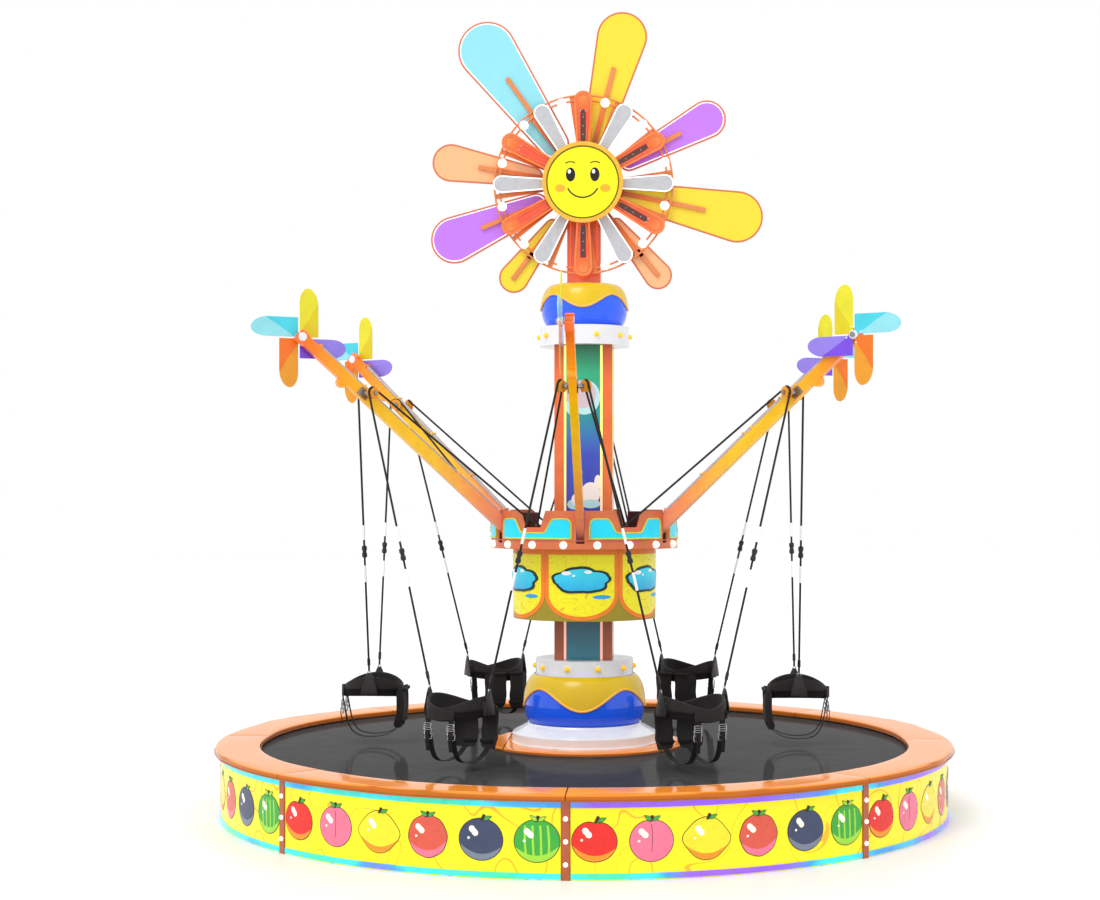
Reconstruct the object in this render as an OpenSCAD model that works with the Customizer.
// Six-seat bungee carousel: a round trampoline platform, a fixed square column
// with a flower sign on top, and a turning crown whose six rising arms carry
// pinwheels at their tips and hang a harness between each two neighbours.
// Millimetres, +Z up, origin on the floor at the centre, front along -Y.

/* [Platform] */
// Outside radius of the padded rim
rim_r = 3000; // [2980:5:3040]
// Width of the padded rim
rim_w = 372; // [340:2:380]
// Thickness of the rim pads
rim_pad_t = 50; // [40:2:56]
// Height of the printed wall, which is also the underside of the rim pads
wall_h = 530; // [530:1:536]
// Outside radius of the printed wall
wall_r = 2946; // [2940:1:2950]
// Height of the top of the mat
mat_top = 525; // [522:1:526]
// Outside radius of the padded step round the column
step_r = 817; // [800:1:830]

/* [Column] */
// Width of the square column over its corner strips
column_w = 470; // [460:2:480]
// Width of one corner strip
corner_w = 73; // [60:1:80]
// Height at which the lower bowl starts
lower_bowl_z = 711; // [711:1:720]
// Height at which the lower collar starts
lower_collar_z = 1107; // [1107:1:1110]
// Height at which the upper collar starts
upper_collar_z = 3798; // [3780:1:3800]

/* [Crown] */
// Outside radius of the crown
crown_r = 766; // [762:1:770]
// Height of the underside of the crown band
crown_z = 2146; // [2146:1:2150]
// Height of the top of the parapet
crown_top = 2452; // [2440:1:2460]
// Outside radius of the skirt under the crown
skirt_r = 585; // [580:1:600]
// Height of the lower edge of the skirt
skirt_z = 1570; // [1540:5:1600]

/* [Arms] */
// Radius at which an arm's centre line passes the parapet
arm_root_r = 750; // [745:1:755]
// Height of the centre line there
arm_root_z = 2343; // [2340:1:2346]
// Radius of the arm tip
arm_tip_r = 2442; // [2400:1:2480]
// Height of the arm tip
arm_tip_z = 3785; // [3760:1:3800]
// Width of an arm
arm_w = 60; // [56:1:64]
// Radius from the carousel axis at which the rope sheaves stand on an arm
sheave_r = 1950; // [1940:1:1960]

/* [Seats] */
// Height of the rings on a harness's hips
hip_z = 1117; // [1100:1:1130]
// Distance between the two hip rings
hip_span = 554; // [540:2:560]
// Outside radius of the waist belt
belt_r = 256; // [250:1:258]
// Radius of a rope
rope_r = 8; // [7:0.5:8]

/* [Pinwheels] */
// Length of a pinwheel blade
blade_l = 384; // [360:2:400]
// Width of a pinwheel blade
blade_w = 160; // [150:2:164]

/* [Flower] */
// Height of the flower's centre
flower_z = 5106; // [5090:1:5120]
// Radius of the lamp ring
lamp_ring_r = 685; // [680:1:690]
// Radius of the outer ring
outer_ring_r = 726; // [722:1:730]
// Radius of the face disc
face_r = 327; // [320:1:330]

/* [Hidden] */
SEATS = 6;
$fn = 96;

// Directions. Seat 1 hangs front right of the viewer, arm 1 points to the front.
FRONT = -90;
function arm_azimuth(i) = FRONT + 60 * (i - 1);
function seat_azimuth(i) = FRONT + 30 + 60 * (i - 1);

// Platform
pad_in_r = rim_r - rim_w;
frame_r = wall_r - 20;      // outside of the steel rings
frame_w = 60;               // radial width of the steel rings
channel_t = 6;              // steel thickness of the channels
mat_t = 6;
mat_r = frame_r - 226;      // edge of the mat, under the rim pads
mat_in_r = step_r - 37;     // inner edge of the mat, under the step pads
inner_ring_r = 620;
wall_n = 8;
wall_pitch = 360 / wall_n;
post_w = 58;
post_out = 10;              // how far a post stands out of the wall
lamp_heights = [107, 261, 414];
step_t = 26;
step_top = mat_top + 2 + step_t;
step_in_r = 560;
step_cut_x = 630;           // half the distance between the two straight seams
anchor_pcd_r = frame_r - frame_w / 2;
anchor_hole_r = 9;

// Column
half_w = column_w / 2;
plate_t = 6;                // sheet and angle thickness of the column cover
core_r = 160;
core_top = 4293;
lower_collar_h = 129;
upper_collar_h = 157;
lower_collar_r = 402;
upper_collar_r = 368;
upper_bowl_z = upper_collar_z + upper_collar_h;
flange_z = 2046;            // plate that carries the slewing ring
flange_t = 24;
flange_r = 390;
ball_row_r = 391;
ball_r = 9;
ball_n = 36;

// Ring gear and pinion, module 8
gear_module = 8;
ring_teeth_n = 108;
pinion_teeth_n = 13;
ring_pitch_r = gear_module * ring_teeth_n / 2;
pinion_pitch_r = gear_module * pinion_teeth_n / 2;
gear_centre = ring_pitch_r + pinion_pitch_r;
tooth_out = 6;
tooth_in = 9;

// Crown
deck_z = crown_z + 4;
deck_t = 16;
deck_top = deck_z + deck_t;
// Gap under a piece that rests on another, which keeps their faces apart
rest_gap = 0.1;
parapet_t = 14;
notch_depth = 131;
notch_top_w = 236;
notch_bottom_w = 146;

// Arms
arm_root_d = 100;           // depth of the box section at the crown
arm_tip_d = 80;             // and at the tip
arm_run = arm_tip_r - arm_root_r;
arm_rise = arm_tip_z - arm_root_z;
arm_len = norm([arm_run, arm_rise]);
arm_slope = atan2(arm_rise, arm_run);
sheave_z = arm_root_z + (sheave_r - arm_root_r) * tan(arm_slope);

// Sheaves, in a seat's own directions: x outward, y along the chord between the two arms
chord_x = sheave_r * cos(30);
chord_y = sheave_r * sin(30);
sheave_y = chord_y - 105;
sheave_half_t = 23;
sheave_rim_r = 46;
groove_r = 37.6;
rope_path_r = groove_r + rope_r + 0.4;
axle_r = 10;
axle_fit = 0.05;

// Ropes and anchors
anchor_x = 700;
anchor_z = 2330;
anchor_ball_r = 26;
rope_low_z = hip_z + 28;
hip_y = hip_span / 2;
seat_shift = 55;            // puts a harness's weight under its sheaves
knot_share = 0.56;          // how far down the rope the connector sits

// Flower, measured from its centre plane outwards to the front
pylon_w = 275;
pylon_d = 200;
pylon_top = 5420;
frame_back = -pylon_d / 2;
drum_r = 250;
drum_front = -215;
petal_back = -140;
petal_t = 12;
rib_t = 20;

// ---- Helpers ----

// Turns a piece drawn pointing along +X to an azimuth
module at(azimuth) rotate([0, 0, azimuth]) children();

// A full ring with a rectangular section
module ring(r_in, r_out, z0, z1)
    rotate_extrude() translate([r_in, z0]) square([r_out - r_in, z1 - z0]);

// A part of a ring between two azimuths
module ring_part(r_in, r_out, z0, z1, a0, a1)
    rotate([0, 0, a0]) rotate_extrude(angle = a1 - a0)
        translate([r_in, z0]) square([r_out - r_in, z1 - z0]);

// A rolled channel bent to a ring, open towards the centre
module channel_ring(r_out, w, z0, h) rotate_extrude() difference() {
    translate([r_out - w, z0]) square([w, h]);
    translate([r_out - w - 1, z0 + channel_t])
        square([w - channel_t + 1, h - 2 * channel_t]);
}

// A round bar between two points
module rod(p, q, r) {
    d = q - p;
    translate(p) rotate([0, acos(d.z / norm(d)), atan2(d.y, d.x)])
        cylinder(h = norm(d), r = r);
}

// Outline round two circles on the x axis, the nearer one at d0 with radius r0
function arc_points(d, r, a0, a1, n) =
    [for (k = [0:n]) let (a = a0 + (a1 - a0) * k / n) [d + r * cos(a), r * sin(a)]];
function petal_points(d0, r0, d1, r1) =
    let (lean = asin((r1 - r0) / (d1 - d0)))
    concat(arc_points(d1, r1, -90 - lean, 90 + lean, 16),
           arc_points(d0, r0, 90 + lean, 270 - lean, 10));

// Outline of a gear with straight-flanked teeth
function gear_points(n, pitch_r) = let (p = 360 / n)
    [for (i = [0:n - 1], c = [[-0.27, -tooth_in], [-0.11, tooth_out],
                              [0.11, tooth_out], [0.27, -tooth_in]])
        let (a = (i + c[0]) * p, r = pitch_r + c[1]) [r * cos(a), r * sin(a)]];

// A strap's side outline from the points on one side, with the other side t away
function unit(v) = v / norm(v);
function strap_normal(path, i) =
    let (a = path[max(i - 1, 0)], b = path[min(i + 1, len(path) - 1)], d = unit(b - a))
    [-d.y, d.x];
function strap_points(path, t) = concat(path,
    [for (i = [len(path) - 1:-1:0]) path[i] + t * strap_normal(path, i)]);

// A lamp dome on a base, pointing along +X from the origin
module lamp(r) {
    rotate([0, 90, 0]) cylinder(h = r * 0.25, r = r);
    intersection() {
        translate([r * 0.25, 0, 0]) sphere(r * 0.97, $fn = 48);
        translate([r * 0.1, -r, -r]) cube([2 * r, 2 * r, 2 * r]);
    }
}

// Outline of a bowl's side: bottom radius, widest radius and its height, top radius
function bowl_side(r0, r1, z1, r2, h) = concat(
    [for (k = [0:6]) let (a = 90 * (1 - k / 6)) [r0 + (r1 - r0) * cos(a), z1 * (1 - sin(a))]],
    [for (k = [1:8]) let (a = 90 * k / 8) [r2 + (r1 - r2) * cos(a), z1 + (h - z1) * sin(a)]]);

module bowl(r0, r1, z1, r2, h, t) {
    side = bowl_side(r0, r1, z1, r2, h);
    inside = [for (i = [len(side) - 1:-1:0]) side[i] - [t, 0]];
    rotate_extrude() polygon(concat(side, inside));
}

// ---- Platform ----

module base_frame() color("dimgray") {
    difference() {
        channel_ring(frame_r, frame_w, 0, frame_w);
        for (k = [0:wall_n - 1]) at(k * wall_pitch)
            translate([anchor_pcd_r, 0, -1]) cylinder(h = frame_w + 2, r = anchor_hole_r);
    }
    channel_ring(frame_r, frame_w, wall_h - frame_w, frame_w);
    channel_ring(inner_ring_r, frame_w, mat_top + 2 - frame_w, frame_w);
    cylinder(h = 60, r = 420);
    // uprights of flat bar, off the anchor holes and the wall posts
    for (k = [0:2 * wall_n - 1]) at((k + 0.5) * wall_pitch / 2)
        translate([frame_r - 20, -25, frame_w - 1]) cube([10, 50, wall_h - 2 * frame_w + 2]);
    for (k = [0:wall_n - 1]) at((k + 0.5) * wall_pitch) {
        // floor beams of channel, open downwards
        difference() {
            translate([400, -30, 0]) cube([frame_r - frame_w - 396, 60, 60]);
            translate([402, -25, -1]) cube([frame_r, 50, 56]);
        }
        translate([inner_ring_r - 40, -22, 57]) cube([10, 44, mat_top - frame_w - 54]);
    }
}

module wall_panels() color("gold")
    for (k = [0:wall_n - 1])
        ring_part(wall_r - 19.5, wall_r, 0, wall_h - 1,
                  FRONT + k * wall_pitch + 0.62, FRONT + (k + 1) * wall_pitch - 0.62);

module wall_posts() color("peru")
    for (k = [0:wall_n - 1]) at(FRONT + k * wall_pitch)
        translate([wall_r - 18, -post_w / 2, 0]) cube([18 + post_out, post_w, wall_h - 1]);

module wall_lamps() color("white")
    for (k = [0:wall_n - 1], z = lamp_heights) at(FRONT + k * wall_pitch)
        translate([wall_r + post_out, 0, z]) lamp(16);

module wall_light_strips() color("turquoise")
    for (k = [0:wall_n - 1], z = [[8, 46], [486, 523]])
        ring_part(wall_r + 0.2, wall_r + 6, z[0], z[1],
                  FRONT + k * wall_pitch + 0.66, FRONT + (k + 1) * wall_pitch - 0.66);

module edge_pads() color("sandybrown") {
    soft = 14;
    low = wall_h + rest_gap;
    for (k = [0:wall_n - 1]) rotate([0, 0, FRONT + k * wall_pitch + 0.03])
        rotate_extrude(angle = wall_pitch - 0.06) polygon([
            [pad_in_r, low], [rim_r - 4, low], [rim_r, low + 4],
            [rim_r, wall_h + rim_pad_t - soft], [rim_r - soft, wall_h + rim_pad_t],
            [pad_in_r + soft, wall_h + rim_pad_t], [pad_in_r, wall_h + rim_pad_t - soft]]);
}

module trampoline_mat() color("dimgray") ring(mat_in_r, mat_r, mat_top - mat_t, mat_top);

module mat_springs() color("silver") {
    z = mat_top - 5;
    outer_end = frame_r - frame_w - 1;
    for (k = [0:71]) at(2.5 + 5 * k) rod([mat_r + 1, 0, z], [outer_end, 0, z], 6);
    for (k = [0:23]) at(7.5 + 15 * k) rod([inner_ring_r + 1, 0, z], [mat_in_r - 1, 0, z], 6);
}

module pad_ring() ring(step_in_r, step_r, step_top - step_t, step_top);

module step_pads() color("sandybrown") {
    big = 2 * step_r;
    gap = 2;
    for (s = [0, 180]) rotate([0, 0, s]) {
        intersection() {
            pad_ring();
            translate([step_cut_x + gap / 2, -big / 2, 0]) cube([big, big, big]);
        }
        intersection() {
            pad_ring();
            translate([-step_cut_x + gap / 2, gap / 2, 0])
                cube([2 * step_cut_x - gap, big, big]);
        }
    }
}

module plinth() color("whitesmoke") rotate_extrude() {
    z0 = step_top;
    t = 8;
    lip = lower_bowl_z;
    outside = [[600, z0], [594, z0 + 14], [594, z0 + 74], [588, z0 + 82],
               [474, lip - 14], [466, lip]];
    polygon(concat(outside, [[400, lip], [400, lip - t], [458, lip - t]],
                   [[580, z0 + 76], [584, z0 + 70], [584, z0]]));
}

// ---- Column ----

module bowls() color("royalblue") {
    translate([0, 0, lower_bowl_z]) bowl(442, 495, 149, 396, lower_collar_z - lower_bowl_z, 8);
    translate([0, 0, upper_bowl_z]) bowl(282, 353, 150, 258, core_top + 4 - upper_bowl_z, 8);
}

module collars() color("whitesmoke") {
    // the lower collar closes the bowl and carries the column's cover
    rotate_extrude() polygon([
        [lower_collar_r, lower_collar_z], [lower_collar_r, lower_collar_z + lower_collar_h],
        [core_r + 2, lower_collar_z + lower_collar_h],
        [core_r + 2, lower_collar_z + lower_collar_h - 8],
        [lower_collar_r - 8, lower_collar_z + lower_collar_h - 8],
        [lower_collar_r - 8, lower_collar_z]]);
    // the upper collar closes the cover from above
    rotate_extrude() polygon([
        [core_r + 2, upper_collar_z], [upper_collar_r, upper_collar_z],
        [upper_collar_r, upper_bowl_z], [270, upper_bowl_z], [270, upper_bowl_z - 8],
        [upper_collar_r - 8, upper_bowl_z - 8], [upper_collar_r - 8, upper_collar_z + 8],
        [core_r + 2, upper_collar_z + 8]]);
}

module collar_lamps() color("gold")
    for (k = [0:9], c = [[lower_collar_r, lower_collar_z + lower_collar_h * 0.5],
                         [upper_collar_r, upper_collar_z + upper_collar_h * 0.5]])
        at(FRONT + 18 + 36 * k) translate([c[0], 0, c[1]]) lamp(22);

module column_core() color("gray") {
    difference() {
        union() {
            translate([0, 0, 60]) cylinder(h = core_top - 60, r = core_r);
            translate([0, 0, 60]) cylinder(h = 25, r = 300);
            translate([0, 0, flange_z]) cylinder(h = flange_t, r = flange_r);
            // tongue for the drive
            translate([0, -62, flange_z]) cube([gear_centre + 66, 124, flange_t]);
            // square plates that hold the cover
            for (z = [1262, flange_z - 34, flange_z + 134, upper_collar_z - 40])
                translate([-half_w + 12.5, -half_w + 12.5, z])
                    cube([column_w - 25, column_w - 25, 8]);
        }
        translate([0, 0, 50]) cylinder(h = core_top, r = core_r - 12);
        translate([gear_centre, 0, flange_z - 1]) cylinder(h = flange_t + 2, r = 18);
    }
}

// The cover stops under the slewing ring and starts again above it
cover_spans = [[lower_collar_z + lower_collar_h + 0.5, flange_z - 6],
               [deck_z + 4, upper_collar_z - 0.5]];

module column_corners() color("peru")
    for (s = cover_spans, k = [0:3]) rotate([0, 0, 90 * k]) translate([0, 0, s[0]])
        linear_extrude(s[1] - s[0]) polygon([
            [half_w, half_w], [half_w - corner_w, half_w],
            [half_w - corner_w, half_w - plate_t], [half_w - plate_t, half_w - plate_t],
            [half_w - plate_t, half_w - corner_w], [half_w, half_w - corner_w]]);

module column_panels() color("teal")
    for (s = cover_spans, k = [0:3]) rotate([0, 0, 90 * k])
        translate([-half_w + 14, -half_w + plate_t + 0.2, s[0]])
            cube([column_w - 28, plate_t, s[1] - s[0]]);

module slew_inner_ring() color("silver") {
    difference() {
        ring(340, ball_row_r - 1, flange_z + flange_t, deck_z - 6);
        rotate_extrude() translate([ball_row_r, flange_z + 64]) circle(ball_r + 1);
    }
    for (k = [0:ball_n - 1]) at(k * 360 / ball_n)
        translate([ball_row_r, 0, flange_z + 64]) sphere(ball_r, $fn = 32);
}

module drive_motor() color("slategray") translate([gear_centre, 0, 0]) difference() {
    union() {
        translate([0, 0, 1760]) cylinder(h = 200, r = 52);
        translate([-48, -48, 1960]) cube([96, 96, flange_z - 1960]);
    }
    translate([0, 0, 1990]) cylinder(h = 100, r = 14 + axle_fit);
}

module drive_pinion() color("silver") translate([gear_centre, 0, 0]) {
    translate([0, 0, 1992]) cylinder(h = 130, r = 14);
    translate([0, 0, flange_z + flange_t + 14])
        linear_extrude(50) polygon(gear_points(pinion_teeth_n, pinion_pitch_r));
}

module pylon() color("orangered") difference() {
    union() {
        translate([0, 0, core_top]) cylinder(h = 12, r = 250);
        translate([-pylon_w / 2, -pylon_d / 2, core_top])
            cube([pylon_w, pylon_d, pylon_top - core_top]);
    }
    translate([-pylon_w / 2 + 6, -pylon_d / 2 + 6, core_top - 1])
        cube([pylon_w - 12, pylon_d - 12, pylon_top - core_top - 5]);
}

// ---- Flower ----

// Draws in the flower's face plane: x to the right, y up, extruded towards the front
module facing(y_back, t)
    translate([0, y_back, flower_z]) rotate([90, 0, 0]) linear_extrude(t) children();

// Acrylic petals: direction, distance of the end circle, its radius
PETALS = [[125.5, 1361, 236], [75.5, 1250, 202], [27.9, 1136, 153], [-11.9, 1279, 206],
          [-50.5, 955, 111], [-127.2, 944, 120], [-157.5, 1147, 190], [169.9, 1104, 151]];
petal_start = 420;

module big_petals() color("khaki")
    for (p = PETALS) facing(petal_back, petal_t) rotate(p[0])
        polygon(petal_points(petal_start, 0.52 * p[2], p[1], p[2]));

module flower_frame() color("coral") {
    facing(frame_back, frame_back - drum_front) circle(drum_r);
    // ribs across the acrylic petals
    for (p = PETALS) facing(petal_back - petal_t - 0.2, rib_t) rotate(p[0])
        translate([drum_r - 10, -18]) square([p[1] * 0.8 - drum_r, 36]);
    // wedge bars out to the lamp rings
    for (k = [0:11]) facing(drum_front + 41, 20) rotate(30 * k + 7.5)
        polygon([[drum_r - 12, -9], [outer_ring_r, -20], [outer_ring_r, 20], [drum_r - 12, 9]]);
    for (r = [lamp_ring_r, outer_ring_r]) translate([0, drum_front + 18, flower_z])
        rotate([90, 0, 0]) rotate_extrude() translate([r, 0]) circle(8, $fn = 24);
}

module flower_lamps() color("white")
    for (k = [0:11]) translate([0, 0, flower_z]) rotate([0, 15 + 30 * k, 0])
        translate([lamp_ring_r, drum_front + 9.5, 0]) rotate([0, 0, -90]) lamp(36);

module petal_ring(start, t)
    for (k = [0:5]) facing(drum_front - 0.2, t) rotate(start + 60 * k) children();

module silver_petals() color("gainsboro")
    petal_ring(0, 30) polygon(petal_points(280, 42, 664, 70));

module neon_petals() color("tomato") petal_ring(30, 34) difference() {
    polygon(petal_points(300, 48, 681, 70));
    translate([340, -22]) square([262, 44]);
}

module face_disc() color("yellow") {
    facing(drum_front - 0.4, 85) circle(236);
    facing(drum_front - 85, 26) circle(face_r);
    facing(drum_front - 111, 10) difference() {
        circle(face_r);
        circle(face_r - 30);
    }
}

// ---- Crown ----

module slew_gear_ring() color("silver") difference() {
    translate([0, 0, flange_z + flange_t + 6])
        linear_extrude(deck_z - flange_z - flange_t - 6)
            polygon(gear_points(ring_teeth_n, ring_pitch_r));
    translate([0, 0, flange_z]) cylinder(h = 300, r = ball_row_r + 1);
    rotate_extrude() translate([ball_row_r, flange_z + 64]) circle(ball_r + 1);
}

module crown_deck() color("dimgray") {
    ring(ball_row_r + 4, crown_r - parapet_t, deck_z, deck_top);
}

// The outline of a notch, centred on y, reaching above the parapet
module notch_outline()
    polygon([[-notch_bottom_w / 2, crown_top - notch_depth],
             [notch_bottom_w / 2, crown_top - notch_depth],
             [notch_top_w / 2, crown_top + 5], [-notch_top_w / 2, crown_top + 5]]);

// Extrudes an outline of (y, z) outwards through the crown's wall
module through_wall(azimuth)
    at(azimuth) translate([crown_r - 60, 0, 0]) rotate([90, 0, 90]) linear_extrude(120) children();

module crown_parapet() color("chocolate") difference() {
    ring(crown_r - parapet_t, crown_r, crown_z, crown_top);
    for (i = [1:SEATS]) {
        through_wall(seat_azimuth(i)) notch_outline();
        through_wall(arm_azimuth(i)) translate([-arm_w / 2 - 3, crown_z + 47])
            square([arm_w + 6, crown_top]);
    }
}

// Right half of an inlay's outline, from the bottom centre to the top centre
inlay_half = [[0, 2232], [318, 2232], [318, 2350], [312, 2368], [298, 2382], [280, 2387],
              [192, 2387], [172, 2380], [158, 2362], [122, 2294], [108, 2281], [88, 2277],
              [0, 2277]];

module crown_inlays() color("cyan")
    for (i = [1:SEATS]) intersection() {
        ring(crown_r + 0.2, crown_r + 6, crown_z, crown_top);
        through_wall(seat_azimuth(i)) for (m = [0, 1]) mirror([m, 0]) polygon(inlay_half);
    }

module crown_lamps() color("ivory")
    for (k = [0:17]) at(FRONT + 10 + 20 * k)
        translate([crown_r, 0, crown_z + 35]) lamp(30);

module crown_skirt() color("yellow") ring(skirt_r - 12, skirt_r, skirt_z, deck_z);

// Side outline of an arm in (radius, height)
function along_arm(s, off) =
    [arm_root_r, arm_root_z] + s * [cos(arm_slope), sin(arm_slope)]
        + off * [-sin(arm_slope), cos(arm_slope)];

module arm_side() {
    back = -260;            // how far the beam runs back inside the crown
    intersection() {
        union() {
            polygon([along_arm(back, -arm_root_d / 2), along_arm(arm_len, -arm_tip_d / 2),
                     along_arm(arm_len, arm_tip_d / 2), along_arm(back, arm_root_d / 2)]);
            translate([arm_tip_r, arm_tip_z]) circle(arm_tip_d / 2);
            translate(along_arm(arm_len * 0.79, -46)) circle(42);
        }
        translate([560, deck_top + 0.2]) square([3000, 3000]);
    }
}

module arms() color("orange")
    for (i = [1:SEATS]) at(arm_azimuth(i)) rotate([90, 0, 0])
        translate([0, 0, -arm_w / 2]) linear_extrude(arm_w) arm_side();

// Axle, boss and foot plate of one sheave, in a seat's own directions
module sheave_axle() {
    face = chord_y - arm_w / 2 / cos(30);
    difference() {
        union() {
            translate([chord_x, sheave_y + sheave_half_t + 1, sheave_z]) rotate([-90, 0, 0])
                cylinder(h = chord_y - sheave_y, r = 17);
            translate([chord_x, sheave_y - sheave_half_t - 11, sheave_z]) rotate([-90, 0, 0])
                cylinder(h = chord_y - sheave_y, r = axle_r);
            translate([chord_x, sheave_y - sheave_half_t - 11, sheave_z]) rotate([-90, 0, 0])
                cylinder(h = 10, r = 17);
            at(30) translate([sheave_r, -arm_w / 2 - 4, sheave_z]) rotate([0, -arm_slope, 0])
                cube([90, 8, 66], center = true);
        }
        // everything inside and behind the arm
        at(30) translate([sheave_r - 300, -arm_w / 2 - 0.2, sheave_z - 300])
            cube([600, 400, 600]);
    }
}

module pinwheel_axle() translate([arm_tip_r, 0, arm_tip_z]) rotate([90, 0, 0]) {
    translate([0, 0, arm_w / 2 + 0.2]) cylinder(h = 5, r = 26);
    translate([0, 0, arm_w / 2 + 0.2]) cylinder(h = 66, r = 12);
    translate([0, 0, arm_w / 2 + 56]) cylinder(h = 10, r = 20);
}

module arm_axles() color("silver") {
    for (i = [1:SEATS]) {
        at(arm_azimuth(i)) pinwheel_axle();
        at(seat_azimuth(i)) for (m = [0, 1]) mirror([0, m, 0]) sheave_axle();
    }
}

module rope_anchors() color("saddlebrown")
    for (i = [1:SEATS]) at(seat_azimuth(i)) {
        foot = deck_top + rest_gap;
        translate([anchor_x - 30, -30, foot]) cube([60, 60, anchor_z - foot - 18]);
        translate([anchor_x, 0, anchor_z]) sphere(anchor_ball_r, $fn = 48);
        // tensioner box beside the anchor
        translate([590, -180, foot]) cube([95, 120, 272]);
    }

// Where the upper rope run leaves the sheave, as an angle round its axle
anchor_dx = anchor_x - chord_x;
anchor_dz = anchor_z - sheave_z;
lift_off = atan2(anchor_dz, anchor_dx) + 360 - acos(rope_path_r / norm([anchor_dx, anchor_dz]));

module upper_rope() {
    top = [chord_x + rope_path_r * cos(lift_off), sheave_y,
           sheave_z + rope_path_r * sin(lift_off)];
    foot = [anchor_x, 0, anchor_z];
    start = foot + (anchor_ball_r + 0.5) * unit(top - foot);
    rod(start, top, rope_r);
    translate([chord_x, sheave_y, sheave_z]) rotate([90, 0, 0])
        rotate([0, 0, 5]) rotate_extrude(angle = lift_off - 5)
            translate([rope_path_r, 0]) circle(rope_r, $fn = 32);
}

module upper_ropes() color("black")
    for (i = [1:SEATS]) at(seat_azimuth(i)) for (m = [0, 1]) mirror([0, m, 0]) upper_rope();

// ---- Moving pieces ----

module pinwheel() translate([arm_tip_r, 0, arm_tip_z]) rotate([90, 0, 0]) {
    gap = 6;
    color("white") translate([0, 0, arm_w / 2 + 12]) difference() {
        cylinder(h = 40, r = 34);
        translate([0, 0, -1]) cylinder(h = 42, r = 12 + axle_fit);
    }
    for (k = [0:3]) color(["cyan", "yellow", "mediumpurple", "orange"][k])
        rotate([0, 0, 90 * k]) translate([0, 0, arm_w / 2 + 28]) linear_extrude(8)
            difference() {
                union() {
                    translate([gap, gap]) square([blade_l - blade_w / 2 - gap, blade_w - gap]);
                    translate([blade_l - (blade_w - gap) / 2, gap + (blade_w - gap) / 2])
                        circle((blade_w - gap) / 2);
                }
                circle(34.3);
            }
}

module sheaves() color("dimgray") for (m = [0, 1]) mirror([0, m, 0])
    translate([chord_x, sheave_y, sheave_z]) rotate([90, 0, 0]) rotate_extrude() polygon([
        [axle_r + axle_fit, -sheave_half_t], [sheave_rim_r, -sheave_half_t],
        [sheave_rim_r, -sheave_half_t + 1.5], [groove_r, -9], [groove_r, 9],
        [sheave_rim_r, sheave_half_t - 1.5], [sheave_rim_r, sheave_half_t],
        [axle_r + axle_fit, sheave_half_t]]);

module ropes() color("black") for (m = [0, 1]) mirror([0, m, 0]) {
    top = [chord_x + rope_path_r, sheave_y, sheave_z];
    low = [chord_x + seat_shift, hip_y, rope_low_z];
    way = low - top;
    rod(top, low, rope_r);
    // connector, and a plain band above and below it
    for (b = [[knot_share, 0.024, 17], [knot_share - 0.05, 0.018, 11],
              [knot_share + 0.07, 0.018, 11]])
        rod(top + (b[0] - b[1]) * way, top + (b[0] + b[1]) * way, b[2]);
}

// Points of a leg strap's side, from the belt's front round under the seat
leg_path = [[246, 915], [228, 840], [214, 760], [196, 690], [160, 632], [100, 598], [20, 588],
            [-70, 594], [-150, 618], [-222, 668]];
back_pad_side = [[-252, 990], [-276, 990], [-282, 900], [-278, 762], [-244, 662], [-218, 672],
                 [-250, 772], [-256, 900]];

module harness_side_piece(points, y, w)
    translate([0, y + w / 2, 0]) rotate([90, 0, 0]) linear_extrude(w) polygon(points);

module harness() color("black") translate([chord_x + seat_shift, 0, 0]) {
    // waist belt, arched so that it rises over the hips
    intersection() {
        ring(belt_r - 26, belt_r, 905, 1096);
        translate([0, 400, 800]) rotate([90, 0, 0]) cylinder(h = 800, r = 315);
    }
    for (m = [0, 1]) mirror([0, m, 0]) {
        // hip plate with its ring
        difference() {
            union() {
                translate([-55, belt_r - 24, 950]) cube([110, hip_y - 6 - belt_r + 24, 110]);
                translate([0, hip_y + 6, 0]) rotate([90, 0, 0]) linear_extrude(12)
                    polygon([[-70, 945], [70, 945], [24, hip_z], [0, hip_z + 24],
                             [-24, hip_z]]);
            }
            translate([0, 500, hip_z]) rotate([90, 0, 0]) cylinder(h = 500, r = 10);
            ring(1, belt_r - 10, 900, 1100);
        }
        // leg strap with its ladder-lock buckle, and the thigh pad behind
        harness_side_piece(strap_points(leg_path, 6), 105, 45);
        translate([224, 105, 800]) rotate([0, -10, 0]) cube([14, 68, 52], center = true);
        harness_side_piece(back_pad_side, 108, 196);
    }
    // bridge that joins the two thigh pads
    translate([-277, -12, 770]) cube([22, 24, 190]);
    // padded panel over the belly
    intersection() {
        ring(belt_r - 14, belt_r + 14, 912, 1010);
        translate([100, -130, 900]) cube([300, 260, 200]);
    }
}

module at_arm(i) at(arm_azimuth(i)) children();
module at_seat(i) at(seat_azimuth(i)) children();

base_frame();
wall_panels();
wall_posts();
wall_lamps();
wall_light_strips();
edge_pads();
trampoline_mat();
mat_springs();
step_pads();
plinth();
bowls();
collars();
collar_lamps();
column_core();
column_corners();
column_panels();
slew_inner_ring();
drive_motor();
drive_pinion();
pylon();
flower_frame();
flower_lamps();
big_petals();
silver_petals();
neon_petals();
face_disc();
slew_gear_ring();
crown_deck();
crown_parapet();
crown_inlays();
crown_lamps();
crown_skirt();
arms();
arm_axles();
rope_anchors();
upper_ropes();
for (i = [1:SEATS]) {
    at_arm(i) pinwheel();
    at_seat(i) sheaves();
    at_seat(i) ropes();
    at_seat(i) harness();
}
